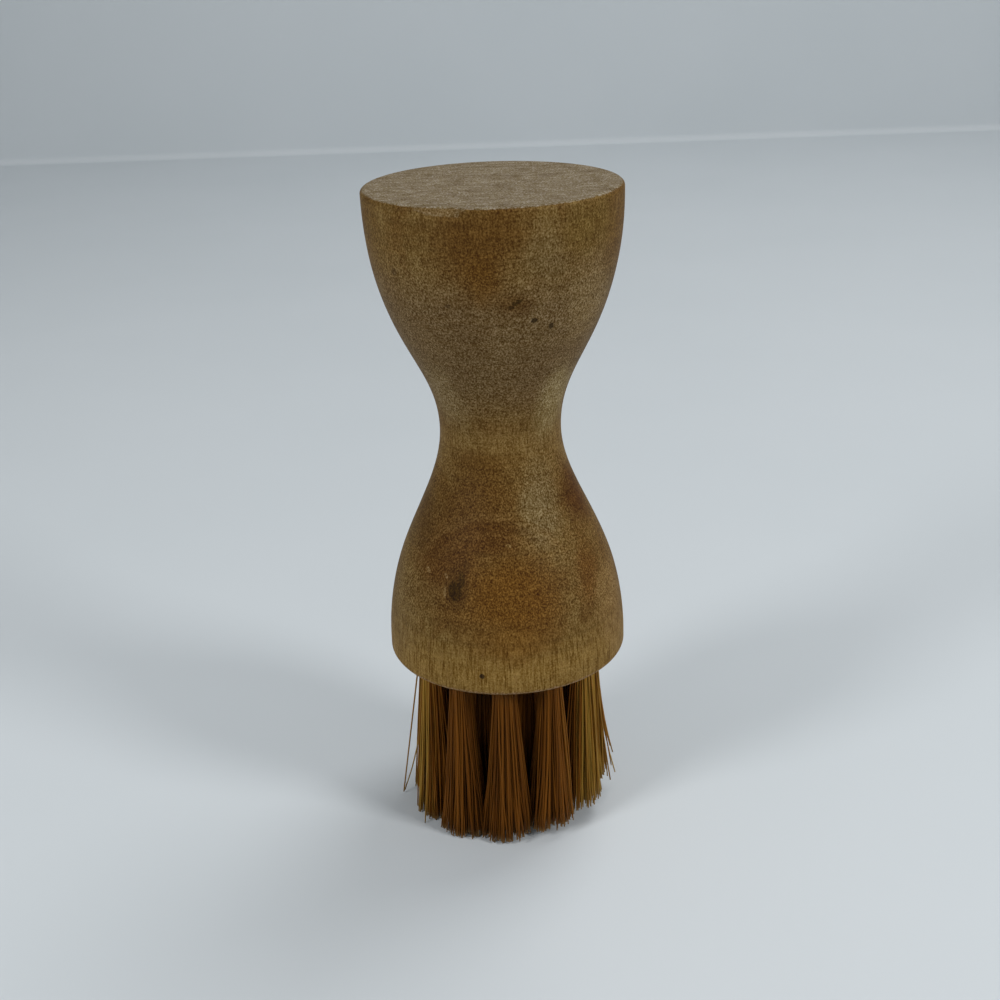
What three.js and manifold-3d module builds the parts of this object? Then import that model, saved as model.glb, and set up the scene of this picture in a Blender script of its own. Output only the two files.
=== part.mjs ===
// A shoe polish dauber: a turned wooden handle with tufts of bristle set in its lower end.
// Each tuft is folded over a flat wire staple, which holds it in a blind hole of the end face.
// Millimetres, +Z up, with the origin on the surface that the bristle tips stand on, below the handle's axis.
import * as THREE from "three";
import { mergeGeometries, mergeVertices } from "three/addons/utils/BufferGeometryUtils.js";
import Module from "manifold-3d";

const wasm = await Module();
wasm.setup();

// Driving dimensions in millimetres. Heights on the handle are taken from its end face.

// Handle outline: a bell that carries the tufts, a waist for the fingers and a bowl below the top face
const HANDLE_LENGTH = 73.6;
const RIM_WALL = 4; // wood from the outermost tuft holes to the bell's widest
const RIM_FILLET = 1;
const BELL_HEIGHT = 2.5; // upper end of the bell's straight side
const BELL_PULL = 16.6; // how far the bell's curve clings to its straight side
const WAIST_RADIUS = 9.25;
const WAIST_HEIGHT = 36.8;
const WAIST_LOWER_PULL = 10.1;
const WAIST_UPPER_PULL = 11.2;
const BOWL_PULL = 21;
const TOP_RADIUS = 19;
const TOP_FILLET = 0.7;

// Tuft holes, one in the centre and rings around it
const HOLE_RADIUS = 1.9;
const HOLE_WEB = 2.6; // wood between the holes of one ring and the next
const HOLE_DEPTH = 12;
const DRILL_POINT_ANGLE = 118; // degrees
const PATTERN_TURN = -3.5; // degrees from the front to the outer ring's first hole

// Backing slices that the tufts are rooted in, let in flush with the end face
const SLICE_THICKNESS = 1.2;
const SLICE_MARGIN = 0.8; // beyond the outermost holes
const SLICE_GAP = 0.3; // between neighbouring slices

// Staples: a flat wire driven across each hole, with the tuft folded over its upper edge
const STAPLE_THICKNESS = 0.4;
const STAPLE_HEIGHT = 1.6;
const STAPLE_BITE = 0.5; // how far each end goes into the wood
const FOLD_THICKNESS = 1.2; // bristle above the staple

// Bristle strands, which splay from the holes until the tufts nearly meet
const BRISTLE_LENGTH = 28.4;
const STRAND_SINK = 0.5; // length rooted in the slice
const STRAND_GAP = 0.05; // between the strands that fill a hole
const TIP_GAP = 0.5; // between the splayed tips of neighbouring tufts
const TIP_SCATTER = 0.2; // how far a tip strays sideways
const TIP_UNEVENNESS = 1.8; // between the longest and the shortest strand before trimming
const TIP_TRIM = 0.5; // cut level from the longest strands, to stand on

const FIT_GAP = 0.2; // around a tuft's root, a staple and a slice

// Counts and proportions of the facets and patterns
const STRAND_RINGS = 2;
const STRANDS_PER_RING = 6; // around a tuft's middle strand, and as many more in each further ring
const STRAND_SIDES = 3;
const STRAND_STEPS = 2;
const STRAND_FLARE = 1.4; // above 1 the splay grows towards the tips
const HANDLE_SIDES = 40;
const SLICE_SIDES = 24;
const HOLE_SIDES = 12;
const ROOT_SIDES = 8;
const CURVE_STEPS = 10;
const FILLET_STEPS = 3;
const FOLD_STEPS = 2;

// The rings of tufts, from the centre outwards
const RINGS = [
  { tufts: "centre_tuft", staple: "centre_staple", count: 1 },
  { tufts: "inner_tufts", staple: "inner_staple", count: 6 },
  { tufts: "outer_tufts", staple: "outer_staple", count: 11 },
];

// Sizes that follow from the driving dimensions
const LAST_RING = RINGS.length - 1;
const RING_PITCH = 2 * HOLE_RADIUS + HOLE_WEB;
const FIELD_RADIUS = LAST_RING * RING_PITCH + HOLE_RADIUS;
const BELL_RADIUS = FIELD_RADIUS + RIM_WALL;
const SLICE_RADIUS = FIELD_RADIUS + SLICE_MARGIN;
const ROOT_RADIUS = HOLE_RADIUS - FIT_GAP;
const ROOT_HEIGHT = HOLE_DEPTH - FIT_GAP;
const STAPLE_LENGTH = 2 * (HOLE_RADIUS + STAPLE_BITE);
const STAPLE_CENTRE = ROOT_HEIGHT - FOLD_THICKNESS - STAPLE_HEIGHT / 2;
const STRAND_RADIUS = (ROOT_RADIUS - STRAND_RINGS * STRAND_GAP) / (2 * STRAND_RINGS + 1);
const STRAND_PITCH = 2 * STRAND_RADIUS + STRAND_GAP;
const TIP_PITCH = (RING_PITCH / 2 - TIP_GAP / 2 - STRAND_RADIUS) / STRAND_RINGS;

const WOOD = new THREE.MeshStandardMaterial({ color: 0x7a6440, roughness: 0.55, metalness: 0 });
const BRISTLE = new THREE.MeshStandardMaterial({ color: 0x4f3314, roughness: 0.45, metalness: 0 });
const STEEL = new THREE.MeshStandardMaterial({ color: 0x9a9a98, roughness: 0.4, metalness: 1 });

// A closed geometry as a solid that can be joined and cut
function solidOf(geometry) {
  const bare = geometry.clone();
  bare.deleteAttribute("normal");
  bare.deleteAttribute("uv");
  const welded = mergeVertices(bare);
  const vertProperties = new Float32Array(welded.attributes.position.array);
  const triVerts = new Uint32Array(welded.index.array);
  return new wasm.Manifold(new wasm.Mesh({ numProp: 3, vertProperties, triVerts }));
}

function meshOf(name, solid, material) {
  const { vertProperties, triVerts } = solid.getMesh();
  const geometry = new THREE.BufferGeometry();
  geometry.setAttribute("position", new THREE.BufferAttribute(vertProperties, 3));
  geometry.setIndex(new THREE.BufferAttribute(triVerts, 1));
  geometry.computeVertexNormals();
  const mesh = new THREE.Mesh(geometry, material);
  mesh.name = name;
  return mesh;
}

// A turned shape: the outline's points give radius and height, and run upwards on the outside
function turned(outline, sides) {
  return new THREE.LatheGeometry(outline, sides).rotateX(Math.PI / 2);
}

function point(x, y) {
  return new THREE.Vector2(x, y);
}

// Places spread evenly on a circle, from an angle onwards
function circlePlaces(count, radius, start) {
  return Array.from({ length: count }, (_, copy) => {
    const angle = start + (copy / count) * 2 * Math.PI;
    return point(Math.cos(angle), Math.sin(angle)).multiplyScalar(radius);
  });
}

// The tufts' places on one ring. The outer ring has its first place near the front, and a ring inside it is
// turned by half its step, so that its tufts stand behind the gaps that show at the front.
function tuftPlaces(ring) {
  const { count } = RINGS[ring];
  const halfStep = ring === LAST_RING ? 0 : Math.PI / count;
  const start = -Math.PI / 2 + THREE.MathUtils.degToRad(PATTERN_TURN) + halfStep;
  return circlePlaces(count, ring * RING_PITCH, start);
}

// The places of one tuft's strands on one ring around its middle
function strandPlaces(ring, pitch) {
  return circlePlaces(Math.max(1, ring * STRANDS_PER_RING), ring * pitch, 0);
}

// A repeatable spread of values from 0 to 1
function spread(seed) {
  const wave = Math.sin(seed * 12.9898) * 43758.5453;
  return wave - Math.floor(wave);
}

function handleOutline() {
  const rimFillet = new THREE.EllipseCurve(
    BELL_RADIUS - RIM_FILLET, RIM_FILLET, RIM_FILLET, RIM_FILLET, -Math.PI / 2, 0);
  const bell = new THREE.CubicBezierCurve(
    point(BELL_RADIUS, BELL_HEIGHT),
    point(BELL_RADIUS, BELL_HEIGHT + BELL_PULL),
    point(WAIST_RADIUS, WAIST_HEIGHT - WAIST_LOWER_PULL),
    point(WAIST_RADIUS, WAIST_HEIGHT));
  const bowlTop = HANDLE_LENGTH - TOP_FILLET;
  const bowl = new THREE.CubicBezierCurve(
    point(WAIST_RADIUS, WAIST_HEIGHT),
    point(WAIST_RADIUS, WAIST_HEIGHT + WAIST_UPPER_PULL),
    point(TOP_RADIUS, bowlTop - BOWL_PULL),
    point(TOP_RADIUS, bowlTop));
  const topFillet = new THREE.EllipseCurve(
    TOP_RADIUS - TOP_FILLET, bowlTop, TOP_FILLET, TOP_FILLET, 0, Math.PI / 2);
  return [
    point(0, 0),
    ...rimFillet.getPoints(FILLET_STEPS),
    ...bell.getPoints(CURVE_STEPS),
    ...bowl.getPoints(CURVE_STEPS).slice(1, -1),
    ...topFillet.getPoints(FILLET_STEPS),
    point(0, HANDLE_LENGTH),
  ];
}

// The space that one tuft's drilled hole takes up, from the end face to the drill's point
function holeGeometry() {
  const pointHeight = HOLE_RADIUS / Math.tan(THREE.MathUtils.degToRad(DRILL_POINT_ANGLE / 2));
  const outline = [
    point(0, 0),
    point(HOLE_RADIUS, 0),
    point(HOLE_RADIUS, HOLE_DEPTH),
    point(0, HOLE_DEPTH + pointHeight),
  ];
  return turned(outline, HOLE_SIDES);
}

// A staple, or with a gap the space cut for it
function stapleGeometry(gap) {
  return new THREE.BoxGeometry(
    STAPLE_LENGTH + 2 * gap, STAPLE_THICKNESS + 2 * gap, STAPLE_HEIGHT + 2 * gap);
}

function handleSolid() {
  const seat = solidOf(stapleGeometry(FIT_GAP).translate(0, 0, STAPLE_CENTRE));
  const socket = solidOf(holeGeometry()).add(seat);
  const recessRadius = SLICE_RADIUS + FIT_GAP;
  const recess = new THREE.CylinderGeometry(recessRadius, recessRadius, 2 * SLICE_THICKNESS, HANDLE_SIDES);
  let handle = solidOf(turned(handleOutline(), HANDLE_SIDES)).subtract(solidOf(recess.rotateX(Math.PI / 2)));
  RINGS.forEach((_, ring) => {
    for (const place of tuftPlaces(ring)) {
      handle = handle.subtract(socket.translate(place.x, place.y, 0));
    }
  });
  return handle;
}

// The part of a tuft in its hole: a round bundle, folded over the staple
function rootSolid() {
  const bundle = new THREE.CylinderGeometry(ROOT_RADIUS, ROOT_RADIUS, ROOT_HEIGHT, ROOT_SIDES)
    .rotateX(Math.PI / 2)
    .translate(0, 0, ROOT_HEIGHT / 2);
  const arch = new THREE.Shape()
    .moveTo(-ROOT_RADIUS, 0)
    .lineTo(ROOT_RADIUS, 0)
    .lineTo(ROOT_RADIUS, ROOT_HEIGHT - ROOT_RADIUS)
    .absarc(0, ROOT_HEIGHT - ROOT_RADIUS, ROOT_RADIUS, 0, Math.PI);
  const alongStaple = new THREE.Matrix4().makeBasis(
    new THREE.Vector3(0, 1, 0), new THREE.Vector3(0, 0, 1), new THREE.Vector3(1, 0, 0));
  const fold = new THREE.ExtrudeGeometry(arch, {
    depth: 2 * ROOT_RADIUS, bevelEnabled: false, curveSegments: FOLD_STEPS })
    .applyMatrix4(alongStaple)
    .translate(-ROOT_RADIUS, 0, 0);
  const slot = stapleGeometry(FIT_GAP).translate(0, 0, STAPLE_CENTRE);
  return solidOf(bundle).intersect(solidOf(fold)).subtract(solidOf(slot));
}

// One strand: a prism from the slice down to its tip, bent outwards by the splay
function strandGeometry(root, tip, tipHeight) {
  const round = new THREE.EllipseCurve(0, 0, STRAND_RADIUS, STRAND_RADIUS);
  const section = new THREE.Shape(round.getPoints(STRAND_SIDES).slice(1));
  const strand = new THREE.ExtrudeGeometry(section, { depth: 1, steps: STRAND_STEPS, bevelEnabled: false });
  const corners = strand.attributes.position;
  for (let corner = 0; corner < corners.count; corner += 1) {
    const along = 1 - corners.getZ(corner);
    const centre = root.clone().lerp(tip, along ** STRAND_FLARE);
    corners.setXYZ(
      corner,
      centre.x + corners.getX(corner),
      centre.y + corners.getY(corner),
      THREE.MathUtils.lerp(STRAND_SINK, tipHeight, along));
  }
  return strand;
}

// The strands of one tuft, of uneven length, with the longest trimmed level
function tuftStrands(place, tuftSeed) {
  const strands = [];
  for (let ring = 0; ring <= STRAND_RINGS; ring += 1) {
    const tips = strandPlaces(ring, TIP_PITCH);
    strandPlaces(ring, STRAND_PITCH).forEach((root, copy) => {
      const seed = tuftSeed + strands.length;
      const stray = spread(seed + 0.3) * 2 * Math.PI;
      const tip = tips[copy].clone().add(point(Math.cos(stray), Math.sin(stray)).multiplyScalar(TIP_SCATTER));
      const length = BRISTLE_LENGTH + TIP_TRIM - TIP_UNEVENNESS * spread(seed);
      strands.push(strandGeometry(root.add(place), tip.add(place), -Math.min(length, BRISTLE_LENGTH)));
    });
  }
  return strands;
}

// One ring's slice of the end face
function sliceSolid(ring) {
  const inner = Math.max(0, (ring - 0.5) * RING_PITCH + SLICE_GAP / 2);
  const outer = ring === LAST_RING ? SLICE_RADIUS : (ring + 0.5) * RING_PITCH - SLICE_GAP / 2;
  const outline = [
    point(inner, 0),
    point(outer, 0),
    point(outer, SLICE_THICKNESS),
    point(inner, SLICE_THICKNESS),
  ];
  if (inner > 0) {
    outline.push(outline[0]);
  }
  return solidOf(turned(outline, SLICE_SIDES));
}

// One ring of tufts on its slice
function tuftRingSolid(ring) {
  const root = rootSolid();
  const strands = [];
  let tufts = sliceSolid(ring);
  for (const place of tuftPlaces(ring)) {
    tufts = tufts.add(root.translate(place.x, place.y, 0));
    strands.push(...tuftStrands(place, 1 + ring * 1000 + strands.length));
  }
  return tufts.add(solidOf(mergeGeometries(strands)));
}

const dauber = new THREE.Group();
dauber.position.z = BRISTLE_LENGTH;
dauber.add(meshOf("handle", handleSolid(), WOOD));
RINGS.forEach((names, ring) => {
  dauber.add(meshOf(names.tufts, tuftRingSolid(ring), BRISTLE));
  const places = tuftPlaces(ring);
  places.forEach((place, copy) => {
    const staple = new THREE.Mesh(stapleGeometry(0), STEEL);
    staple.name = places.length === 1 ? names.staple : `${names.staple}_${copy + 1}`;
    staple.position.set(place.x, place.y, STAPLE_CENTRE);
    dauber.add(staple);
  });
});

export default dauber;
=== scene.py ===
"""Looks of a shoe polish dauber: a turned wooden handle, tufts of bristle and the staples that hold them.

Sizes are in metres in the frame's own axes, unless a heading gives another unit: +Z up the handle,
-Y towards the camera, and the bristle tips stand on z = 0.
"""

import math
import random

import bpy
import numpy as np
from mathutils import Matrix, Vector, geometry, noise


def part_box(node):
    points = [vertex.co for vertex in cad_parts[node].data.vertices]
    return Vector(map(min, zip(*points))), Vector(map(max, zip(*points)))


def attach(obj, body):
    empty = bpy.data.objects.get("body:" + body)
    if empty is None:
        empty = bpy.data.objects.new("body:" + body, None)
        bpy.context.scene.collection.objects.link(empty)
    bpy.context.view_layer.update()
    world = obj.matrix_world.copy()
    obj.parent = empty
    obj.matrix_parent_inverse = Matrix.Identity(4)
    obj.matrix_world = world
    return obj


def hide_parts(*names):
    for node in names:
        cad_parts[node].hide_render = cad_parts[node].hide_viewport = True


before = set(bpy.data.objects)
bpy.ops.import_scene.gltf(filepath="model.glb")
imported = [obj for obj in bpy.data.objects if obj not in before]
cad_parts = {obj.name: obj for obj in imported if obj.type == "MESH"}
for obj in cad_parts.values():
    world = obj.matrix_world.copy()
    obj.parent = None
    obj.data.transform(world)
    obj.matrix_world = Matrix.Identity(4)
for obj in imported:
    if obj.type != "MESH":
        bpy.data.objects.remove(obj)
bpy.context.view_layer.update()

MM = 0.001

# Handle outline, with heights above the end face
RIM_FILLET = 1.0 * MM
BELL_RADIUS = 18.7 * MM
BELL_HEIGHT = 2.5 * MM
BELL_PULL = 16.6 * MM
WAIST_RADIUS = 9.25 * MM
WAIST_HEIGHT = 36.8 * MM
WAIST_LOWER_PULL = 10.1 * MM
WAIST_UPPER_PULL = 11.2 * MM
BOWL_PULL = 21.0 * MM
TOP_FILLET = 0.7 * MM
HANDLE_SIDES = 320
FILLET_STEPS = 8
BELL_STEPS = 80
BOWL_STEPS = 120
TOP_STEPS = 19

# Wear of the top corner, measured across it, with waves given as scale and share round the rim
RIM_WEAR = 0.2 * MM
RIM_WEAR_SPREAD = 0.35 * MM
RIM_WEAR_WAVES = ((7, 0.6), (29, 0.4))
BARE_FADE = 0.18 * MM
# How far below its height the top still counts as flat
FLAT_DEPTH = 0.02 * MM
# Chip of the top corner, between two angles
CHIP_DEPTH = 0.85 * MM
CHIP_FROM = math.radians(-127)
CHIP_TO = math.radians(-104)
CHIP_SLOPE = 0.6
# Unevenness of the turning, with its scale per metre
UNEVENNESS = 0.09 * MM
UNEVENNESS_SCALE = 90

# Tuft holes, and the tolerance in millimetres of the face around them
HOLE_RADIUS = 1.9 * MM
HOLE_DEPTH = 12.0 * MM
HOLE_POINT = 1.1 * MM
HOLE_CHAMFER = 0.15 * MM
HOLE_SIDES = 28
FACE_TOLERANCE = 1e-5

# Rings of tufts, each with the node that its tufts stand for
RINGS = (("centre", "centre_tuft"), ("inner", "inner_tufts"), ("outer", "outer_tufts"))

# Strands, with widths and taper as shares of the radius
STRANDS_PER_TUFT = 300
STRAND_RADIUS = 0.14 * MM
STRAND_WIDTHS = (0.85, 1.12)
STRAND_TAPER = 0.25
STRAND_BOW = 0.22 * MM
STRAND_RINGS = 9
STRAND_SIDES = 5
ROOT_RADIUS = 1.72 * MM
ROOT_DEPTH = 8.5 * MM
FLARE_DELAY = 1.5
GOLDEN_ANGLE = math.pi * (3 - math.sqrt(5))

# Tips: how they fan out and gather into clumps, and how they are worn from one place along x onwards
TIP_RADIUS = 3.9 * MM
FAN_OUTWARDS = 0.9
FAN_ACROSS = 1.1
CLUMPS_PER_TUFT = 11
CLUMP_PULL = 0.22
TIP_SCATTER = 0.2 * MM
CROSSING_SHARE = 0.05
CROSSING_TURN = math.radians(45)
TIP_SET = Vector((-0.4, -0.4, 0.0)) * MM
TIP_UNEVENNESS = 0.4 * MM
WORN_FROM = -5.0 * MM
WORN_REACH = 20.0 * MM
WORN_LENGTH = 2.5 * MM

# Shades of the strands: shared with neighbours, a strand's own, and the painted light it gains beyond two
# places along x, at the brush's lit sides
TONE_SHARED = 0.35
TONE_OWN = 0.2
TONE_PAINTED_LIGHT = 0.3
TONE_PAINTED_LIGHT_SPREAD = 0.5
TONES_PER_METRE = 700
# Painted shade: strands darken towards the middle of the brush, within this radius
PAINTED_SHADE_RADIUS = 16.0 * MM
# Painted light: strands grow paler beyond these places along x, over this reach
PAINTED_LIGHT_LEFT = -11.0 * MM
PAINTED_LIGHT_RIGHT = 7.5 * MM
PAINTED_LIGHT_REACH = 5.0 * MM

# Columns of a strand's sides on the texture map for baking, as shares of the strand's own column
BAKE_MARGIN = 0.15
BAKE_COLUMNS = [BAKE_MARGIN + (1 - 2 * BAKE_MARGIN) * side / STRAND_SIDES for side in range(STRAND_SIDES)]

# Strands that stand away from their tufts: tip in millimetres, and how late the strand turns out to it
STRAYS = (
    ((-18.5, -0.4, 0.3), 1.0),
    ((-18.3, -0.2, 0.5), 2.7),
    ((-14.6, -9.4, 0.1), 1.5),
    ((-15.5, -6.4, 0.2), 1.3),
    ((16.5, 0.0, 7.6), 2.6),
    ((17.3, 0.0, 2.4), 2.4),
    ((16.0, -0.5, 2.0), 1.2),
    ((15.9, 1.2, 3.4), 1.6),
    ((14.7, -4.0, 1.7), 2.0),
    ((16.6, -1.0, 4.4), 1.6),
    ((16.3, -2.6, 2.6), 1.5),
    ((17.0, 1.2, 5.6), 2.2),
    ((-4.6, 17.0, 1.0), 1.8),
    ((13.6, 11.6, 2.0), 2.2),
)

# Places that come from the frame
handle_low, handle_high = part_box("handle")
END_Z = handle_low.z
TOP_Z = handle_high.z
TOP_RADIUS = handle_high.x
END_MM = END_Z / MM
TOP_MM = TOP_Z / MM

# Colours of the wood, in screen values from 0 to 255
STAIN_DARK = (97, 70, 30)
STAIN_PALE = (108, 84, 43)
LATE_WOOD = (90, 60, 20)
BARE_WOOD = (108, 86, 53)
END_GRAIN_DARK = (113, 98, 76)
END_GRAIN_PALE = (135, 122, 100)
END_GRAIN_RING = (98, 82, 58)
LOW_RIM = (136, 107, 80)

# Zones of the finish: from one height to another in millimetres, colour and strength
FINISH_ZONES = (
    (20.0, 39.0, (126, 98, 49), 0.9),
    (58.5, 69.0, (111, 86, 45), 0.85),
    (65.0, 97.0, (97, 77, 49), 0.8),
)
ZONE_FULL = 0.3

# Patches of the finish, and patches of painted light and painted highlight on the handle's lit sides: place
# and half sizes in millimetres, colour and strength
BROAD_PATCHES = (
    ("bell left", (-9.0, -11.0, 48.5), (8.0, 8.0, 8.5), (84, 54, 18), 0.9),
    ("bell shoulder", (-4.0, -10.0, 56.0), (8.0, 7.0, 6.5), (88, 60, 22), 0.9),
    ("bell shoulder left", (-12.5, -5.0, 53.0), (3.5, 6.0, 6.5), (82, 57, 23), 0.85),
    ("bell shoulder right", (11.0, -4.2, 55.5), (3.6, 5.5, 6.5), (74, 44, 12), 0.9),
    ("bell heart", (0.8, -17.0, 43.5), (9.5, 8.0, 9.0), (95, 62, 18), 0.92),
    ("bell heart top", (-2.0, -12.8, 52.4), (6.0, 5.0, 3.4), (79, 49, 14), 0.8),
    ("bell heart right", (12.6, -10.4, 44.5), (2.6, 5.0, 6.0), (95, 61, 20), 0.7),
    # Painted highlight: a pale sheen on the bell's upper right shoulder
    ("shoulder painted highlight", (5.6, -10.4, 56.0), (3.6, 6.0, 7.5), (111, 92, 57), 0.75),
    # Painted light: the bell's right and left flanks lighter where the side lamps graze them
    ("bell right painted light", (16.5, -8.0, 38.0), (4.0, 7.0, 9.0), (120, 93, 52), 0.8),
    ("bell left painted light", (-16.5, -8.0, 38.0), (4.0, 8.0, 9.0), (113, 90, 51), 0.7),
    ("low centre", (1.2, -18.4, 36.4), (5.0, 5.0, 3.4), (106, 74, 28), 0.7),
    ("waist left below", (-3.5, -8.4, 61.8), (7.0, 5.0, 3.4), (88, 60, 20), 0.85),
    ("waist left", (-7.8, -7.0, 73.5), (3.8, 5.0, 7.5), (113, 94, 61), 0.75),
    # Painted light: the waist's right flank lighter, lit from the right
    ("waist right painted light", (7.8, -6.6, 72.5), (3.6, 5.0, 8.0), (130, 112, 74), 0.75),
    # Painted highlight: a broad pale sheen down the bowl's right side
    ("bowl right painted highlight", (13.2, -11.4, 87.5), (5.0, 7.0, 9.0), (116, 95, 60), 0.65),
    ("bowl heart", (-2.6, -19.0, 97.0), (8.5, 7.0, 6.5), (86, 58, 20), 0.95),
    ("bowl heart low", (-2.0, -18.0, 92.0), (3.8, 5.0, 4.2), (87, 57, 15), 0.75),
    ("bowl dark spot", (2.0, -17.5, 88.8), (3.0, 5.0, 2.4), (80, 54, 19), 0.75),
    ("bowl grey", (7.2, -17.3, 95.0), (4.0, 5.0, 5.5), (104, 85, 51), 0.6),
    ("bowl rim right", (13.0, -13.5, 98.5), (5.5, 8.0, 5.0), (98, 75, 31), 0.7),
)
SMALL_MARKS = (
    ("stain halo", (-7.4, -14.4, 44.8), (2.0, 3.0, 3.2), (72, 47, 15), 0.6),
    ("stain", (-7.7, -14.5, 44.3), (1.05, 2.0, 1.45), (50, 31, 2), 0.9),
    ("stain streak", (-6.6, -14.2, 46.0), (0.5, 2.0, 1.2), (52, 34, 4), 0.7),
    ("stain smear", (-5.8, -14.0, 48.0), (0.5, 2.0, 1.0), (66, 42, 13), 0.5),
    ("stain scratch", (-9.2, -13.9, 44.0), (0.2, 2.0, 0.9), (130, 103, 62), 0.5),
    ("stain fleck", (-9.0, -13.6, 46.2), (0.3, 2.0, 0.3), (134, 106, 68), 0.5),
    ("low pit", (-4.1, -18.2, 31.9), (0.35, 1.0, 0.45), (34, 20, 6), 0.85),
    ("bowl pit left", (5.1, -16.1, 85.9), (0.5, 1.2, 0.4), (40, 26, 2), 0.9),
    ("bowl pit right", (7.5, -14.7, 84.6), (0.4, 1.2, 0.5), (40, 26, 2), 0.9),
    ("bowl scratch top", (3.1, -17.5, 89.0), (0.45, 1.2, 0.28), (46, 30, 3), 0.9),
    ("bowl scratch middle", (2.5, -17.4, 88.6), (0.45, 1.2, 0.28), (48, 31, 3), 0.9),
    ("bowl scratch low", (1.9, -17.4, 88.1), (0.45, 1.2, 0.28), (52, 34, 5), 0.85),
    ("bowl pit side", (-14.0, -11.8, 92.4), (0.45, 1.2, 0.45), (54, 36, 14), 0.45),
    ("bowl pit small", (-6.7, -16.1, 88.4), (0.35, 1.2, 0.3), (50, 33, 12), 0.6),
    ("pale fleck middle", (0.6, -13.7, 51.0), (0.4, 1.2, 0.3), (134, 106, 62), 0.5),
    ("pale fleck left", (-11.7, -10.6, 46.2), (0.3, 1.2, 0.4), (140, 112, 70), 0.6),
)
# How far a patch is at full strength and where it ends, as shares of its half sizes
BROAD_FULL = 0.3
SMALL_FULL = 0.8
PATCH_EDGE = 1.2
# Wobbles of the edges: scale per millimetre and reach in millimetres
BROAD_WOBBLE = (0.18, 3.5)
ARCH_WOBBLE = (0.35, 2.4)
SMALL_WOBBLE = (1.8, 0.6)

# Arches where the bell cuts across the rings: distance from their centre and half width, colour and strength
ARCH_CENTRE = (-2.5, -17.0, 41.0)
ARCHES = (
    (14.9, 0.9, (114, 86, 45), 0.3),
    (13.6, 1.0, (70, 43, 13), 0.2),
    (12.1, 0.8, (108, 78, 37), 0.28),
    (10.7, 1.0, (76, 47, 14), 0.18),
)
ARCH_FULL = 0.2
# Heights between which the arches come in, in millimetres
ARCHES_NONE = 44.0
ARCHES_FULL = 51.0

# Growth rings round a pith in millimetres, with the weights of a distance from it
PITH = (6.0, 46.0, 0.0)
PITH_WEIGHTS = (1.0, 1.0, 0.06)
LATE_WOOD_BAND = (0.5, 0.68)
LATE_WOOD_STRENGTH = 0.5
END_RING_BAND = (0.52, 0.66)
END_RING_STRENGTH = 0.4

# Scales of the wood's patterns, per millimetre
RING_SCALE = (0.55, 0.55, 0.55)
MOTTLE_SCALE = (0.11, 0.11, 0.08)
TURNING_SCALE = (0.02, 0.02, 1.4)
RAGGED_SCALE = (1.6, 1.6, 1.6)
RUBBED_SCALE = (0.3, 0.7, 0.5)
FLECK_SCALE = (4.2, 4.2, 3.4)
STREAK_SCALE = (3.8, 3.8, 0.3)
CLOUD_SCALE = (0.7, 0.7, 0.5)
# The values between which a pattern goes from one colour to the other
PATTERN_BAND = (0.35, 0.65)

# Marks of the turning, as factors on a colour
TURNING_BAND = (0.3, 0.7)
TURNING_DARK = (0.92, 0.91, 0.89, 1.0)
TURNING_PALE = (1.07, 1.07, 1.08, 1.0)

# Bare wood: its ragged edge, and heights in millimetres where it starts and is full
RAGGEDNESS = 1.1
TOP_RAGGEDNESS = 0.25
BARE_BAND = (0.42, 0.6)
TOP_BARE_FROM = TOP_MM - 0.2
TOP_BARE_FULL = TOP_MM - 0.05
LOW_RIM_FROM = END_MM + 0.9
LOW_RIM_FULL = END_MM + 0.3
LOW_RIM_STRENGTH = 0.7

# Flecks of the grain, as factors on a colour before their gamma
FLECK_DARK = (0.63, 0.53, 0.23, 1.0)
FLECK_PALE = (1.37, 1.46, 1.7, 1.0)
FLECK_GAMMA = 2.2
FLECK_CONTRAST = 2.7
FLECK_START = -0.85
CLOUD_WEIGHT = 0.4
# Dark streaks of the grain, as factors on a colour
STREAK = (0.5, 0.4, 0.26, 1.0)
STREAK_BAND = (0.56, 0.7)
STREAK_STRENGTH = 0.75
STREAK_SHARE = 0.55
# Stretches where the grain shows as streaks: from one height to another in millimetres, and strength
STREAK_ZONES = (
    (22.0, 42.0, 1.0),
    (60.0, 72.0, 0.6),
    (92.0, 110.0, 0.45),
)

# Shine and relief of the wood
WOOD_ROUGHNESS = 0.6
TOP_ROUGHER = 0.2
WOOD_SPECULAR = 0.08
GRAIN_DEPTH = 0.05 * MM
GRAIN_RELIEF = 0.2

# Colours of the bristle, in screen values from 0 to 255
BRISTLE_DARK = (94, 52, 13)
BRISTLE_MIDDLE = (141, 86, 26)
BRISTLE_PALE = (183, 145, 61)
BRISTLE_ROOT = (56, 28, 5)
BRISTLE_TIP = (176, 142, 92)
# Shades between which the bristle goes from dark to middle and on to pale; the pale end is reached mostly
# through the painted light at the sides
MIDDLE_BAND = (0.0, 0.5)
PALE_BAND = (0.45, 1.0)
# Shares of a strand's length at which its root's and its tip's colours come in
ROOT_BAND = (0.25, 0.0)
TIP_BAND = (0.965, 1.0)
TIP_STRENGTH = 0.6
BRISTLE_SHEEN = (1.0, 0.8, 0.5, 1.0)

# Staple wire: colours in screen values, lines along it per millimetre, and roughness from line to line
STEEL_DARK = (150, 150, 148)
STEEL_PALE = (190, 189, 184)
WIRE_LINES = (0.6, 14.0, 14.0)
STEEL_ROUGHNESS = 0.25
STEEL_ROUGHNESS_SPREAD = 0.3

# Floor and wall: colours in screen values, clouds per millimetre, and the sweep's size
FLOOR_DARK = (205, 211, 214)
FLOOR_PALE = (211, 216, 219)
FLOOR_CLOUDS = (0.012, 0.012, 0.012)
FLOOR_ROUGHNESS = 0.9
SWEEP_REACH = 5.0
WALL_Y = 0.68
WALL_HEIGHT = 1.2
COVE_RADIUS = 0.004
COVE_STEPS = 8

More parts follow.
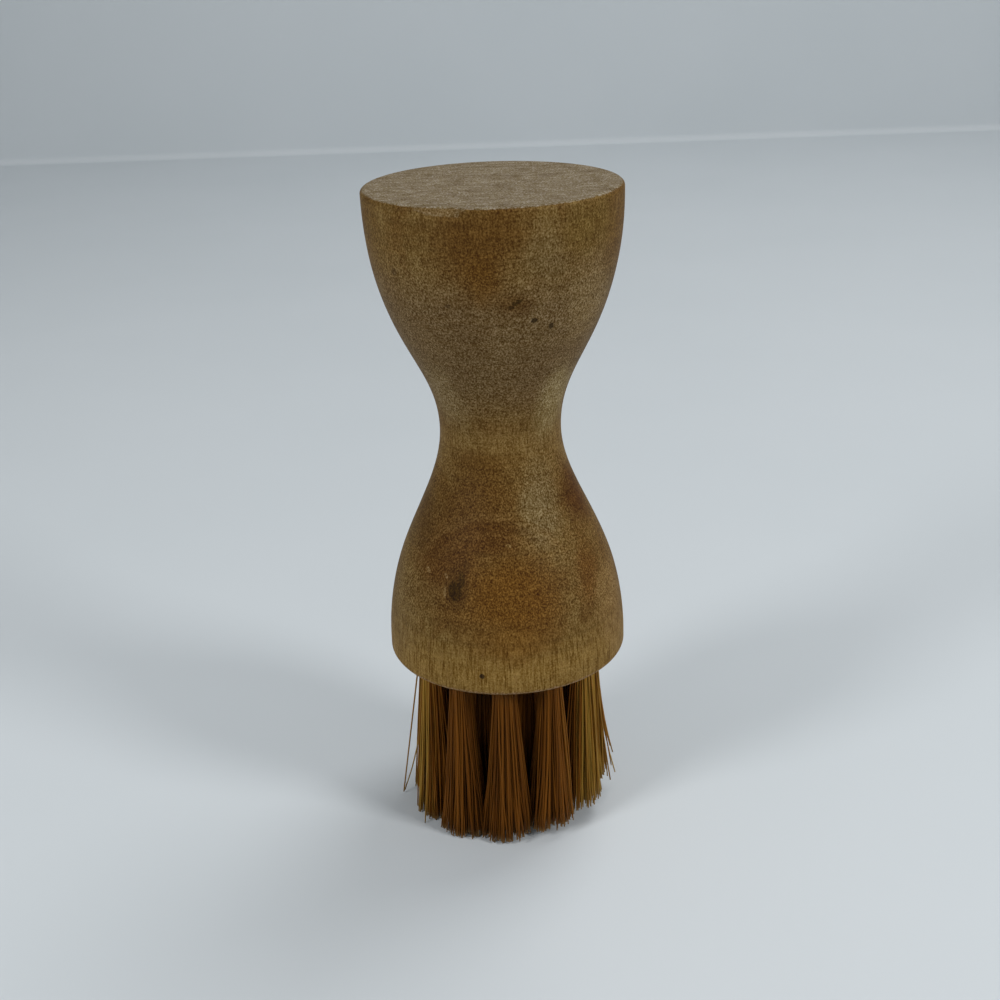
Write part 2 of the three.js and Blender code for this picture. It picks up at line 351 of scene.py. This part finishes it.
# Lamps: name, place, diameter and power in watts, all aimed at one point
LAMPS = (
    ("left_softbox", (-0.455, -0.345, 0.36), 0.2, 1.75),
    ("right_softbox", (0.5, -0.32, 0.37), 0.2, 2.15),
    ("back_softbox", (0.28, 0.32, 0.8), 0.45, 2.7),
)
LAMP_AIM = (0, 0, 0.05)
SKY = (225, 232, 238)
SKY_STRENGTH = 0.265

# Camera, with its sensor and lens in millimetres
SENSOR_WIDTH = 36.0
LENS = 53.2
CLIP_START = 0.01
CAMERA_PLACE = (-0.47 * MM, -213.3 * MM, 140.5 * MM)
LOOK_DOWN = math.radians(22.35)
CAMERA_ROLL = math.radians(-2.05)

# The colour sockets of a mix node
MIX_FIRST = 6
MIX_SECOND = 7
MIX_RESULT = 2


def tuft_places():
    """Each tuft's name, the node that it stands for and the axis of its hole, from the staple in it."""
    places = []
    for ring, node in RINGS:
        staples = [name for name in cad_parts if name.startswith(ring + "_staple")]
        for staple in sorted(staples):
            low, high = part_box(staple)
            places.append((staple.replace("staple", "bristle"), node, (low + high) / 2))
    return places


def clamped(value):
    """A value held between 0 and 1."""
    return min(max(value, 0.0), 1.0)


# Shading helpers


def srgb(red, green, blue):
    """A colour given in screen values from 0 to 255, as a shader takes it."""
    linear = []
    for value in (red / 255, green / 255, blue / 255):
        linear.append(value / 12.92 if value <= 0.04045 else ((value + 0.055) / 1.055) ** 2.4)
    return (*linear, 1.0)


class Shader:
    """A material with short calls for the nodes used here."""

    def __init__(self, name):
        self.material = bpy.data.materials.new(name)
        self.material.use_nodes = True
        self.tree = self.material.node_tree
        self.surface = self.tree.nodes["Principled BSDF"]

    def node(self, kind, **settings):
        made = self.tree.nodes.new(kind)
        for key, value in settings.items():
            setattr(made, key, value)
        return made

    def feed(self, socket, value):
        """A socket's value, from another socket or as a constant."""
        if isinstance(value, bpy.types.NodeSocket):
            self.tree.links.new(value, socket)
        else:
            socket.default_value = value

    def set(self, name, value):
        self.feed(self.surface.inputs[name], value)

    def math(self, operation, *values, clamp=False):
        made = self.node("ShaderNodeMath", operation=operation, use_clamp=clamp)
        for socket, value in zip(made.inputs, values):
            self.feed(socket, value)
        return made.outputs[0]

    def vector(self, operation, *values):
        made = self.node("ShaderNodeVectorMath", operation=operation)
        for socket, value in zip(made.inputs, values):
            self.feed(socket, value)
        return made.outputs["Value"] if operation in ("LENGTH", "DISTANCE") else made.outputs["Vector"]

    def split(self, place):
        made = self.node("ShaderNodeSeparateXYZ")
        self.feed(made.inputs[0], place)
        return made.outputs

    def joined(self, *values):
        made = self.node("ShaderNodeCombineXYZ")
        for socket, value in zip(made.inputs, values):
            self.feed(socket, value)
        return made.outputs[0]

    def noise(self, place, scale, detail=2.0, roughness=0.5, colour=False):
        made = self.node("ShaderNodeTexNoise")
        self.feed(made.inputs["Vector"], self.vector("MULTIPLY", place, scale))
        made.inputs["Scale"].default_value = 1.0
        made.inputs["Detail"].default_value = detail
        made.inputs["Roughness"].default_value = roughness
        return made.outputs["Color" if colour else "Fac"]

    def band(self, value, low, high):
        """0 below low and 1 above high, or the other way round where high is the lower."""
        made = self.node("ShaderNodeMapRange", interpolation_type="SMOOTHSTEP")
        for socket, given in zip(made.inputs, (value, low, high, 0.0, 1.0)):
            self.feed(socket, given)
        return made.outputs["Result"]

    def mix(self, amount, first, second, blend="MIX"):
        made = self.node("ShaderNodeMix", data_type="RGBA", blend_type=blend)
        self.feed(made.inputs["Factor"], amount)
        self.feed(made.inputs[MIX_FIRST], first)
        self.feed(made.inputs[MIX_SECOND], second)
        return made.outputs[MIX_RESULT]

    def tinted(self, colour, tint, amount, strength):
        """A colour with a tint laid over it, by an amount times a strength."""
        return self.mix(self.math("MULTIPLY", amount, strength), colour, srgb(*tint))

    def place_mm(self):
        """The object's own coordinates in millimetres."""
        where = self.node("ShaderNodeTexCoord").outputs["Object"]
        return self.vector("MULTIPLY", where, (1 / MM,) * 3)

    def attribute(self, name):
        return self.node("ShaderNodeAttribute", attribute_name=name).outputs["Fac"]

    def bump(self, height, distance, strength):
        made = self.node("ShaderNodeBump")
        made.inputs["Strength"].default_value = strength
        made.inputs["Distance"].default_value = distance
        self.feed(made.inputs["Height"], height)
        self.set("Normal", made.outputs["Normal"])


# Wood


def patched(wood, colour, place, patches, full):
    """A colour with patches laid over it, each at its full strength out to a share of its half sizes."""
    for _, centre, half, tint, strength in patches:
        away = wood.vector("DIVIDE", wood.vector("SUBTRACT", place, centre), half)
        amount = wood.band(wood.vector("LENGTH", away), PATCH_EDGE, full)
        colour = wood.tinted(colour, tint, amount, strength)
    return colour


def zone_amount(wood, height, low, high):
    """1 about the middle of a zone, falling to 0 at its two heights."""
    middle = (low + high) / 2
    reach = wood.math("ABSOLUTE", wood.math("SUBTRACT", height, middle))
    return wood.band(reach, high - middle, (high - middle) * ZONE_FULL)


def zoned(wood, colour, height):
    """A colour with the finish's zones laid over it, from one height to another."""
    for low, high, tint, strength in FINISH_ZONES:
        colour = wood.tinted(colour, tint, zone_amount(wood, height, low, high), strength)
    return colour


def arched(wood, colour, place, height):
    """A colour with arches laid over it, at their distances from one centre, which fade out below."""
    distance = wood.vector("DISTANCE", place, ARCH_CENTRE)
    shown = wood.band(height, ARCHES_NONE, ARCHES_FULL)
    for reach, width, tint, strength in ARCHES:
        beside = wood.math("ABSOLUTE", wood.math("SUBTRACT", distance, reach))
        amount = wood.math("MULTIPLY", wood.band(beside, width, width * ARCH_FULL), shown)
        colour = wood.tinted(colour, tint, amount, strength)
    return colour


def wobbled(wood, place, scale, reach):
    """Places pushed about by noise, so that what is drawn at them has an uneven edge."""
    push = wood.vector("SUBTRACT", wood.noise(place, (scale,) * 3, colour=True), (0.5,) * 3)
    return wood.vector("ADD", place, wood.vector("MULTIPLY", push, (reach,) * 3))


def mirrored(wood, place):
    """Places with those of the back brought round to the front, because both sides cut the same rings."""
    x, y, z = wood.split(place)
    return wood.joined(x, wood.math("MULTIPLY", wood.math("ABSOLUTE", y), -1.0), z)


def growth_rings(wood, place):
    """Uneven rings round the pith, as a value about 0.5."""
    away = wood.vector("MULTIPLY", wood.vector("SUBTRACT", place, PITH), PITH_WEIGHTS)
    line = wood.joined(wood.vector("LENGTH", away))
    return wood.noise(line, RING_SCALE, detail=2.5, roughness=0.6)


def stained(wood, place, broad, rings, height):
    """The colour of the finish: mottle, late wood, zones, patches with painted light and painted highlight
    among them, arches and fine marks of the turning.
    """
    mottle = wood.noise(broad, MOTTLE_SCALE, detail=3.0, roughness=0.6)
    colour = wood.mix(wood.band(mottle, *PATTERN_BAND), srgb(*STAIN_DARK), srgb(*STAIN_PALE))
    colour = wood.tinted(colour, LATE_WOOD, wood.band(rings, *LATE_WOOD_BAND), LATE_WOOD_STRENGTH)
    colour = zoned(wood, colour, height)
    colour = patched(wood, colour, mirrored(wood, broad), BROAD_PATCHES, BROAD_FULL)
    colour = arched(wood, colour, mirrored(wood, wobbled(wood, place, *ARCH_WOBBLE)), height)
    turning = wood.band(wood.noise(place, TURNING_SCALE, detail=3.0), *TURNING_BAND)
    return wood.mix(1.0, colour, wood.mix(turning, TURNING_DARK, TURNING_PALE), blend="MULTIPLY")


def bared(wood, colour, place, broad, rings, height):
    """A colour with bare wood on the worn corner, the top and the low rim, and how much is the top."""
    ragged = wood.noise(place, RAGGED_SCALE, detail=3.0)
    ragged = wood.math("MULTIPLY_ADD", ragged, RAGGEDNESS, -RAGGEDNESS / 2)
    bare = wood.band(wood.math("ADD", wood.attribute("bare"), ragged), *BARE_BAND)
    colour = wood.mix(bare, colour, srgb(*BARE_WOOD))

    top_height = wood.math("ADD", height, wood.math("MULTIPLY", ragged, TOP_RAGGEDNESS))
    on_top = wood.band(top_height, TOP_BARE_FROM, TOP_BARE_FULL)
    rubbed = wood.noise(broad, RUBBED_SCALE, detail=4.0, roughness=0.65)
    end_grain = wood.mix(wood.band(rubbed, *PATTERN_BAND), srgb(*END_GRAIN_DARK), srgb(*END_GRAIN_PALE))
    end_grain = wood.tinted(end_grain, END_GRAIN_RING, wood.band(rings, *END_RING_BAND), END_RING_STRENGTH)
    colour = wood.mix(on_top, colour, end_grain)

    low_rim = wood.band(wood.math("ADD", height, ragged), LOW_RIM_FROM, LOW_RIM_FULL)
    return wood.tinted(colour, LOW_RIM, low_rim, LOW_RIM_STRENGTH), on_top


def fibred(wood, colour, place, height):
    """A colour with the grain over it, and the grain's height: flecks, and streaks along some stretches."""
    along = 0.0
    for low, high, strength in STREAK_ZONES:
        along = wood.math("MULTIPLY_ADD", zone_amount(wood, height, low, high), strength, along)
    fleck = wood.noise(place, FLECK_SCALE, detail=2.0, roughness=0.65)
    streak = wood.noise(place, STREAK_SCALE, detail=1.5)
    cloud = wood.noise(place, CLOUD_SCALE, detail=2.5, roughness=0.6)

    # Flecks, drawn out towards streaks
    drawn_out = wood.math("MULTIPLY", along, STREAK_SHARE)
    longer = wood.math("MULTIPLY", drawn_out, wood.math("SUBTRACT", streak, fleck))
    grain = wood.math("ADD", fleck, longer)
    level = wood.math("MULTIPLY_ADD", grain, FLECK_CONTRAST, FLECK_START)
    clouds = wood.math("MULTIPLY_ADD", cloud, CLOUD_WEIGHT, -CLOUD_WEIGHT / 2)
    level = wood.math("ADD", level, clouds, clamp=True)
    shade = wood.node("ShaderNodeGamma")
    wood.feed(shade.inputs["Color"], wood.mix(level, FLECK_DARK, FLECK_PALE))
    shade.inputs["Gamma"].default_value = FLECK_GAMMA
    colour = wood.mix(1.0, colour, shade.outputs[0], blend="MULTIPLY")

    # Dark streaks
    strength = wood.math("MULTIPLY", along, STREAK_STRENGTH)
    lines = wood.math("MULTIPLY", wood.band(streak, *STREAK_BAND), strength)
    return wood.mix(lines, colour, STREAK, blend="MULTIPLY"), grain


def wood_material():
    """Stained wood: growth rings round a pith behind the handle, fibres along it, patches of worn finish, and
    painted light and painted highlight on its lit sides.
    """
    wood = Shader("stained_wood")
    place = wood.place_mm()
    height = wood.split(place)["Z"]
    broad = wobbled(wood, place, *BROAD_WOBBLE)
    rings = growth_rings(wood, broad)
    colour = stained(wood, place, broad, rings, height)
    colour, on_top = bared(wood, colour, place, broad, rings, height)
    colour = patched(wood, colour, wobbled(wood, place, *SMALL_WOBBLE), SMALL_MARKS, SMALL_FULL)
    colour, grain = fibred(wood, colour, place, height)
    wood.set("Base Color", colour)
    wood.set("Roughness", wood.math("MULTIPLY_ADD", on_top, TOP_ROUGHER, WOOD_ROUGHNESS))
    wood.set("Specular IOR Level", WOOD_SPECULAR)
    wood.bump(grain, GRAIN_DEPTH, GRAIN_RELIEF)
    return wood.material


# Other materials


def bristle_material():
    """Stiff amber bristle, a little see-through, each strand in its own shade, which carries painted light at
    the sides and painted shade inside the brush, and with a paler tip.
    """
    bristle = Shader("amber_bristle")
    tone = bristle.attribute("tone")
    along = bristle.attribute("along")
    colour = bristle.mix(bristle.band(tone, *MIDDLE_BAND), srgb(*BRISTLE_DARK), srgb(*BRISTLE_MIDDLE))
    colour = bristle.mix(bristle.band(tone, *PALE_BAND), colour, srgb(*BRISTLE_PALE))
    colour = bristle.mix(bristle.band(along, *ROOT_BAND), colour, srgb(*BRISTLE_ROOT))
    colour = bristle.tinted(colour, BRISTLE_TIP, bristle.band(along, *TIP_BAND), TIP_STRENGTH)
    bristle.set("Base Color", colour)
    bristle.set("Roughness", 0.45)
    bristle.set("Specular IOR Level", 0.12)
    bristle.set("Specular Tint", BRISTLE_SHEEN)
    bristle.set("Transmission Weight", 0.35)
    bristle.set("IOR", 1.3)
    return bristle.material


def steel_material():
    """Drawn flat wire with fine lines along it."""
    steel = Shader("staple_steel")
    lines = steel.noise(steel.place_mm(), WIRE_LINES, detail=2.0)
    steel.set("Base Color", steel.mix(lines, srgb(*STEEL_DARK), srgb(*STEEL_PALE)))
    steel.set("Metallic", 1.0)
    steel.set("Roughness", steel.math("MULTIPLY_ADD", lines, STEEL_ROUGHNESS_SPREAD, STEEL_ROUGHNESS))
    return steel.material


def floor_material():
    """Plain pale paper with faint clouds."""
    floor = Shader("floor_paper")
    clouds = floor.noise(floor.place_mm(), FLOOR_CLOUDS, detail=2.0)
    floor.set("Base Color", floor.mix(clouds, srgb(*FLOOR_DARK), srgb(*FLOOR_PALE)))
    floor.set("Roughness", FLOOR_ROUGHNESS)
    return floor.material


# Shape helpers


def bezier(points, steps):
    """Points along a cubic curve, given as (radius, height) control points."""
    start, pull_start, pull_end, end = (np.array(point) for point in points)
    t = np.linspace(0, 1, steps + 1)[:, None]
    return (start * (1 - t) ** 3 + 3 * pull_start * t * (1 - t) ** 2
            + 3 * pull_end * t**2 * (1 - t) + end * t**3)


def arc(centre, radius, first_angle, last_angle, steps):
    """Points along an arc, from one angle to another."""
    angles = np.linspace(first_angle, last_angle, steps + 1)
    return np.stack([centre[0] + radius * np.cos(angles), centre[1] + radius * np.sin(angles)], 1)


def heading(angle):
    """A level vector of length 1 at an angle."""
    return Vector((math.cos(angle), math.sin(angle), 0))


def ring_points(centre, radius, z, sides, turn=0.0):
    """A level ring of points round an upright axis."""
    angles = [turn + 2 * math.pi * side / sides for side in range(sides)]
    return [(centre.x + radius * math.cos(angle), centre.y + radius * math.sin(angle), z) for angle in angles]


def ring_faces(first, second, sides):
    """Faces between two rings of points, which look outwards where the second ring is the upper one."""
    faces = []
    for side in range(sides):
        across = (side + 1) % sides
        faces.append((first + side, first + across, second + across, second + side))
    return faces


# Handle


def handle_outline():
    """(radius, z) points from the end face's edge up the outside and in over the top, without its centre."""
    bowl_top = TOP_Z - TOP_FILLET
    waist_z = END_Z + WAIST_HEIGHT
    bell_z = END_Z + BELL_HEIGHT
    rim_centre = (BELL_RADIUS - RIM_FILLET, END_Z + RIM_FILLET)
    rim = arc(rim_centre, RIM_FILLET, -math.pi / 2, 0, FILLET_STEPS)
    bell = bezier([
        (BELL_RADIUS, bell_z),
        (BELL_RADIUS, bell_z + BELL_PULL),
        (WAIST_RADIUS, waist_z - WAIST_LOWER_PULL),
        (WAIST_RADIUS, waist_z)], BELL_STEPS)
    bowl = bezier([
        (WAIST_RADIUS, waist_z),
        (WAIST_RADIUS, waist_z + WAIST_UPPER_PULL),
        (TOP_RADIUS, bowl_top - BOWL_PULL),
        (TOP_RADIUS, bowl_top)], BOWL_STEPS)
    top = arc((TOP_RADIUS - TOP_FILLET, bowl_top), TOP_FILLET, 0, math.pi / 2, FILLET_STEPS)
    inwards = np.linspace(0, 1, TOP_STEPS + 1)[1:-1]
    flat = [(top[-1][0] * (1 - share**2), TOP_Z) for share in inwards]
    return np.concatenate([rim, bell, bowl[1:-1], top, flat])


def rim_wear(angle):
    """How much of the top corner is gone at an angle, with a chip that ends in a step."""
    way = heading(angle)
    waves = sum(noise.noise(way * scale) * share for scale, share in RIM_WEAR_WAVES)
    wear = RIM_WEAR + RIM_WEAR_SPREAD * waves
    turn = math.atan2(way.y, way.x)
    if CHIP_FROM < turn < CHIP_TO:
        wear += CHIP_DEPTH * ((turn - CHIP_FROM) / (CHIP_TO - CHIP_FROM)) ** CHIP_SLOPE
    return wear


def worn_point(radius, z, angle, wear):
    """A point of the turned surface after wear, and how bare of finish it is."""
    way = heading(angle)
    radius += UNEVENNESS * noise.noise((way * radius + Vector((0, 0, z))) * UNEVENNESS_SCALE)
    over = radius - TOP_RADIUS + z - TOP_Z + wear
    if over > 0:
        radius -= over / 2
        z -= over / 2
    bare = 1.0 if z > TOP_Z - FLAT_DEPTH else clamped(1 + over / BARE_FADE)
    return (radius * way.x, radius * way.y, z), bare


def turned_surface():
    """Points and faces of the handle's outside, and how bare of finish each point is."""
    angles = [2 * math.pi * side / HANDLE_SIDES for side in range(HANDLE_SIDES)]
    wears = [rim_wear(angle) for angle in angles]
    verts, faces, bares = [], [], []
    for radius, z in handle_outline():
        for angle, wear in zip(angles, wears):
            point, bare = worn_point(radius, z, angle, wear)
            verts.append(point)
            bares.append(bare)
    last = len(verts) - HANDLE_SIDES
    for low in range(0, last, HANDLE_SIDES):
        faces += ring_faces(low, low + HANDLE_SIDES, HANDLE_SIDES)
    centre = len(verts)
    verts.append((0, 0, TOP_Z))
    faces += [(last + side, last + (side + 1) % HANDLE_SIDES, centre) for side in range(HANDLE_SIDES)]
    return verts, faces, bares


def drill(verts, faces, place):
    """A drilled hole with a chamfer and a drill's point, added to points and faces. Gives its edge."""
    first = len(verts)
    verts += ring_points(place, HOLE_RADIUS + HOLE_CHAMFER, END_Z, HOLE_SIDES)
    verts += ring_points(place, HOLE_RADIUS, END_Z + HOLE_CHAMFER, HOLE_SIDES)
    verts += ring_points(place, HOLE_RADIUS, END_Z + HOLE_DEPTH, HOLE_SIDES)
    point = len(verts)
    verts.append((place.x, place.y, END_Z + HOLE_DEPTH + HOLE_POINT))
    last = point - HOLE_SIDES
    for low in range(first, last, HOLE_SIDES):
        faces += ring_faces(low + HOLE_SIDES, low, HOLE_SIDES)
    faces += [(last + (side + 1) % HOLE_SIDES, last + side, point) for side in range(HOLE_SIDES)]
    return list(range(first, first + HOLE_SIDES))


def end_face(verts, edges, places):
    """Faces of the flat end, between its outer edge and the edges of the holes."""
    indices = [index for edge in edges for index in edge]
    flat = [Vector(verts[index][:2]) / MM for index in indices]
    lines = []
    for edge in edges:
        start = len(lines)
        count = len(edge)
        lines += [(start + number, start + (number + 1) % count) for number in range(count)]
    points, _, triangles, origins, _, _ = geometry.delaunay_2d_cdt(flat, lines, [], 0, FACE_TOLERANCE)
    faces = []
    for triangle in triangles:
        middle = sum((points[corner] for corner in triangle), Vector((0, 0))) / 3
        in_hole = any((middle - place.xy / MM).length < HOLE_RADIUS / MM for _, _, place in places)
        if not in_hole:
            faces.append(tuple(indices[origins[corner][0]] for corner in reversed(triangle)))
    return faces


def handle_mesh(places):
    """The handle as one closed mesh, shaded flat across its end and smooth elsewhere."""
    verts, faces, bares = turned_surface()
    edges = [list(range(HANDLE_SIDES))]
    for _, _, place in places:
        edges.append(drill(verts, faces, place))
    flat = end_face(verts, edges, places)
    mesh = bpy.data.meshes.new("turned_handle")
    mesh.from_pydata(verts, [], faces + flat)
    bares += [0.0] * (len(verts) - len(bares))
    mesh.attributes.new("bare", "FLOAT", "POINT").data.foreach_set("value", bares)
    mesh.polygons.foreach_set("use_smooth", [True] * len(faces) + [False] * len(flat))
    mesh.update()
    return mesh


# Bristles


def strand_line(root, tip, bow, late):
    """A strand's centre line from its root to its tip. The higher late is, the later it turns out."""
    line = [Vector((root.x, root.y, END_Z + ROOT_DEPTH))]
    for step in range(STRAND_RINGS - 1):
        t = step / (STRAND_RINGS - 2)
        point = root.lerp(tip, t**late) + bow * math.sin(math.pi * t)
        point.z = END_Z + (tip.z - END_Z) * t
        line.append(point)
    return line


def even_disc(count):
    """Places spread evenly over a disc, as shares of its radius and angles."""
    return [(math.sqrt((number + 0.5) / count), number * GOLDEN_ANGLE) for number in range(count)]


def clump_centres(rng):
    """Offsets from a tuft's axis that its tips gather towards."""
    centres = []
    for share, angle in even_disc(CLUMPS_PER_TUFT):
        centres.append(heading(angle + rng.random()) * (share * TIP_RADIUS))
    return centres


def tip_spread(way, share, clumps, rng):
    """A tip's offset from its tuft's axis: drawn to a clump, scattered, some turned across others."""
    spread = way * (share * TIP_RADIUS)
    nearest = min(clumps, key=lambda clump: (clump - spread).length)
    spread = spread.lerp(nearest, CLUMP_PULL)
    spread += Vector((rng.gauss(0, TIP_SCATTER), rng.gauss(0, TIP_SCATTER), 0))
    if rng.random() < CROSSING_SHARE:
        spread.rotate(Matrix.Rotation(rng.uniform(-CROSSING_TURN, CROSSING_TURN), 3, "Z"))
    return spread


def fanned(spread, place):
    """A tip's offset, widened along the ring and narrowed outwards."""
    outwards = Vector((place.x, place.y, 0))
    if outwards.length < HOLE_RADIUS:
        return spread
    outwards.normalize()
    part = outwards * spread.dot(outwards)
    return part * FAN_OUTWARDS + (spread - part) * FAN_ACROSS


def tuft_lines(place, rng):
    """Centre lines of one tuft's strands, to uneven tips that are worn shorter along x."""
    axis = Vector((place.x, place.y, 0))
    clumps = clump_centres(rng)
    lines = []
    for share, angle in even_disc(STRANDS_PER_TUFT):
        way = heading(angle)
        tip = axis + fanned(tip_spread(way, share, clumps, rng), place) + TIP_SET
        worn = clamped((tip.x - WORN_FROM) / WORN_REACH)
        tip.z = abs(rng.gauss(0, TIP_UNEVENNESS)) + WORN_LENGTH * worn
        bow = Vector((rng.gauss(0, STRAND_BOW), rng.gauss(0, STRAND_BOW), 0))
        root = axis + way * (share * ROOT_RADIUS)
        lines.append(strand_line(root, tip, bow, FLARE_DELAY))
    return lines


def stray_lines(place, places):
    """Centre lines of the strays whose nearest tuft is the one at a place."""
    lines = []
    for tip_mm, late in STRAYS:
        tip = Vector(tip_mm) * MM
        nearest = min(places, key=lambda other: (other[2].xy - tip.xy).length)[2]
        if nearest == place:
            way = (tip.xy - place.xy).normalized() * ROOT_RADIUS
            root = Vector((place.x + way.x, place.y + way.y, 0))
            lines.append(strand_line(root, tip, Vector(), late))
    return lines


def strand_tone(tip, rng):
    """A strand's shade from 0 to 1: near its neighbours', with painted light that makes it paler out to the
    sides and painted shade that makes it darker inside the brush.
    """
    # Painted shade: less of the plain tone towards the middle of the brush
    outer = clamped(tip.xy.length / PAINTED_SHADE_RADIUS)
    # Painted light: paler beyond the lit sides along x
    beyond = max(PAINTED_LIGHT_LEFT - tip.x, tip.x - PAINTED_LIGHT_RIGHT)
    pale = clamped(beyond / PAINTED_LIGHT_REACH)
    shared = 0.5 + 0.5 * noise.noise(tip * TONES_PER_METRE)
    plain = TONE_SHARED * shared + TONE_OWN * rng.random()
    painted_light_gain = TONE_PAINTED_LIGHT + TONE_PAINTED_LIGHT_SPREAD * rng.random()
    return plain * outer + painted_light_gain * pale


def add_bake_map(mesh, places):
    """A texture map for baking, from one place on it for each point of the mesh."""
    corners = np.empty(len(mesh.loops), int)
    mesh.loops.foreach_get("vertex_index", corners)
    mesh.uv_layers.new(name="OFBake").data.foreach_set("uv", places[corners].ravel())


def tuft_mesh(name, lines, rng):
    """Strands as thin tapered tubes, with each strand's shade and each point's share of the length."""
    verts, faces, tones, shares, columns = [], [], [], [], []
    for number, line in enumerate(lines):
        first = len(verts)
        tone = strand_tone(line[-1], rng)
        width = STRAND_RADIUS * rng.uniform(*STRAND_WIDTHS)
        turn = rng.random() * math.pi
        for step, point in enumerate(line):
            share = step / (len(line) - 1)
            radius = width * (1 - STRAND_TAPER * share)
            verts += ring_points(point, radius, point.z, STRAND_SIDES, turn)
            tones += [tone] * STRAND_SIDES
            shares += [share] * STRAND_SIDES
            columns += [(number + column) / len(lines) for column in BAKE_COLUMNS]
        last = len(verts) - STRAND_SIDES
        for upper in range(first, last, STRAND_SIDES):
            faces += ring_faces(upper + STRAND_SIDES, upper, STRAND_SIDES)
        faces.append(tuple(range(first, first + STRAND_SIDES)))
        faces.append(tuple(range(last + STRAND_SIDES - 1, last - 1, -1)))
    mesh = bpy.data.meshes.new(name)
    mesh.from_pydata(verts, [], faces)
    mesh.polygons.foreach_set("use_smooth", [True] * len(faces))
    for key, values in (("tone", tones), ("along", shares)):
        mesh.attributes.new(key, "FLOAT", "POINT").data.foreach_set("value", values)
    add_bake_map(mesh, np.stack([columns, shares], 1))
    mesh.update()
    return mesh


# Pieces


def add_piece(name, mesh, material, node):
    """A piece of the object that stands for a node, with its finish."""
    piece = bpy.data.objects.new(name, mesh)
    bpy.context.scene.collection.objects.link(piece)
    mesh.materials.append(material)
    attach(piece, "root")
    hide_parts(node)


def add_object():
    """The handle, the tufts and the finish of the staples, which keep their own shapes."""
    places = tuft_places()
    add_piece("turned_handle", handle_mesh(places), wood_material(), "handle")
    bristle = bristle_material()
    for number, (name, node, place) in enumerate(places):
        rng = random.Random(number)
        lines = tuft_lines(place, rng) + stray_lines(place, places)
        add_piece(name, tuft_mesh(name, lines, rng), bristle, node)
    steel = steel_material()
    for name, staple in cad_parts.items():
        if "staple" in name:
            staple.data.materials.clear()
            staple.data.materials.append(steel)


# Studio


def add_stage():
    """A floor that turns up into a wall behind the object."""
    cove_centre = (WALL_Y - COVE_RADIUS, COVE_RADIUS)
    cove = arc(cove_centre, COVE_RADIUS, -math.pi / 2, 0, COVE_STEPS)
    profile = [(-SWEEP_REACH, 0.0), *cove, (WALL_Y, WALL_HEIGHT)]
    verts = [(x, y, z) for y, z in profile for x in (-SWEEP_REACH, SWEEP_REACH)]
    faces = [(2 * row, 2 * row + 1, 2 * row + 3, 2 * row + 2) for row in range(len(profile) - 1)]
    mesh = bpy.data.meshes.new("studio_sweep")
    mesh.from_pydata(verts, [], faces)
    mesh.materials.append(floor_material())
    sweep = bpy.data.objects.new("studio_sweep", mesh)
    bpy.context.scene.collection.objects.link(sweep)


def add_lamp(name, place, size, power):
    """A round soft lamp."""
    data = bpy.data.lights.new(name, "AREA")
    data.shape = "DISK"
    data.size = size
    data.energy = power
    lamp = bpy.data.objects.new(name, data)
    lamp.location = place
    lamp.rotation_euler = (Vector(LAMP_AIM) - Vector(place)).to_track_quat("-Z", "Y").to_euler()
    bpy.context.scene.collection.objects.link(lamp)


def add_light():
    """The lamps and an even light from all round."""
    for name, place, size, power in LAMPS:
        add_lamp(name, place, size, power)
    world = bpy.data.worlds.new("studio_world")
    world.use_nodes = True
    sky = world.node_tree.nodes["Background"].inputs
    sky["Color"].default_value = srgb(*SKY)
    sky["Strength"].default_value = SKY_STRENGTH
    bpy.context.scene.world = world


def add_camera():
    """A camera that looks down on the object, turned a little about its own axis."""
    data = bpy.data.cameras.new("camera")
    data.sensor_width = SENSOR_WIDTH
    data.lens = LENS
    data.clip_start = CLIP_START
    camera = bpy.data.objects.new("camera", data)
    turn = Matrix.Rotation(math.pi / 2 - LOOK_DOWN, 4, "X") @ Matrix.Rotation(CAMERA_ROLL, 4, "Z")
    camera.matrix_world = Matrix.Translation(CAMERA_PLACE) @ turn
    bpy.context.scene.collection.objects.link(camera)
    bpy.context.scene.camera = camera


add_camera()
add_stage()
add_light()
add_object()
bpy.context.scene.view_settings.view_transform = "Standard"
